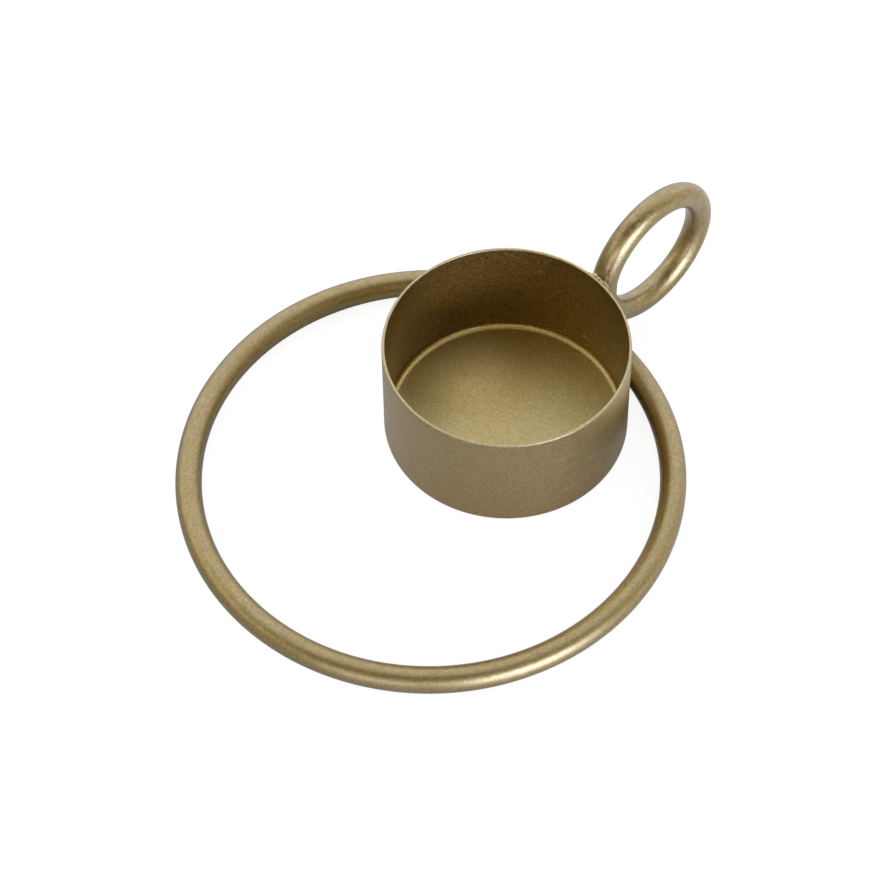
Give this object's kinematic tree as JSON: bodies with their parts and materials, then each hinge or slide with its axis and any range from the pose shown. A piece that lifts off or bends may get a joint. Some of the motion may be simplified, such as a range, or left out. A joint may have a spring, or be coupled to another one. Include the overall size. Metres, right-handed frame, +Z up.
{
  "type": "candle ring",
  "caption": "Hand-held candle ring: a shallow round cup for a tealight stands inside a flat ring of round rod, with an upright finger ring welded to the cup's outer side.",
  "frame": {"origin": "on the cup's axis, at the level of the table that the cup and the base ring stand on", "axes": "+Z up along the cup's axis, +X from the cup towards the finger ring, +Y to the left of that, so the XZ plane is the plane of symmetry"},
  "size_m": [0.1219, 0.096, 0.0335],
  "materials": {
    "rod_paint": "satin champagne-gold metallic paint on steel rod",
    "cup_paint": "fine-grained satin champagne-gold metallic paint on drawn sheet steel",
    "weld_paint": "satin champagne-gold metallic paint over weld metal, a little glossier"
  },
  "bodies": {
    "root": {"base_ring": "rod_paint", "base_ring_seam": "rod_paint", "base_ring_weld": "weld_paint", "candle_cup": "cup_paint", "finger_ring": "rod_paint", "finger_ring_seam": "rod_paint", "finger_ring_weld_left": "weld_paint", "finger_ring_weld_right": "weld_paint"}
  },
  "joints": []
}
